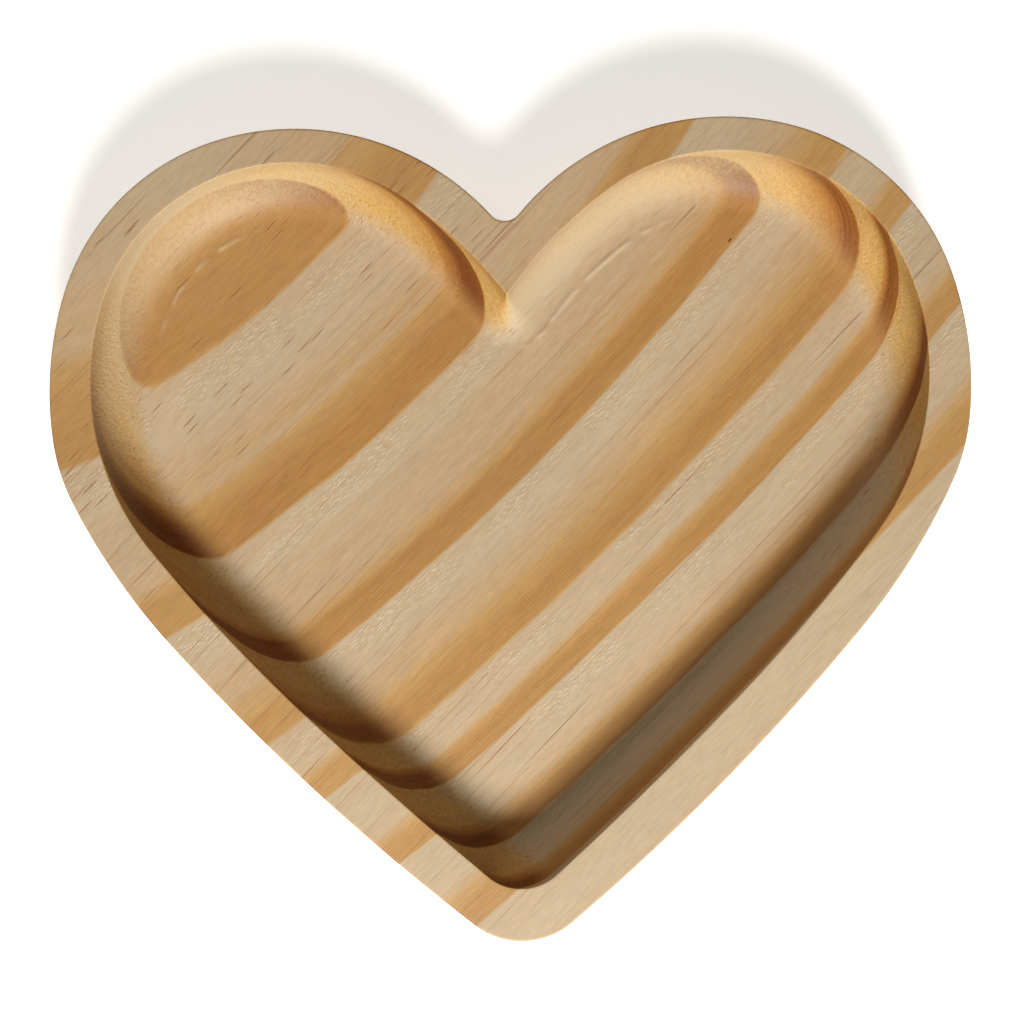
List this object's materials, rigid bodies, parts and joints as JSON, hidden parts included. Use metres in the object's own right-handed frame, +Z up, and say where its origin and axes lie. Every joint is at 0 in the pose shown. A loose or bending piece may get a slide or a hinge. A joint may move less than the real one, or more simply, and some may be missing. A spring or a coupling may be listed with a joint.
{
  "type": "heart-shaped tray",
  "caption": "Shallow heart-shaped dish carved from one solid pine board, with a flat rim and a coved pocket for small things.",
  "frame": {"origin": "on the flat underside, under the middle of the outline's box", "axes": "+Z up out of the pocket, +Y from the heart's tip to its notch, +X across the two lobes"},
  "size_m": [0.2, 0.1776, 0.021],
  "materials": {
    "pine": "bare sanded pine with clear growth rings, matt to satin"
  },
  "bodies": {
    "root": {"heart_tray": "pine"}
  },
  "joints": []
}
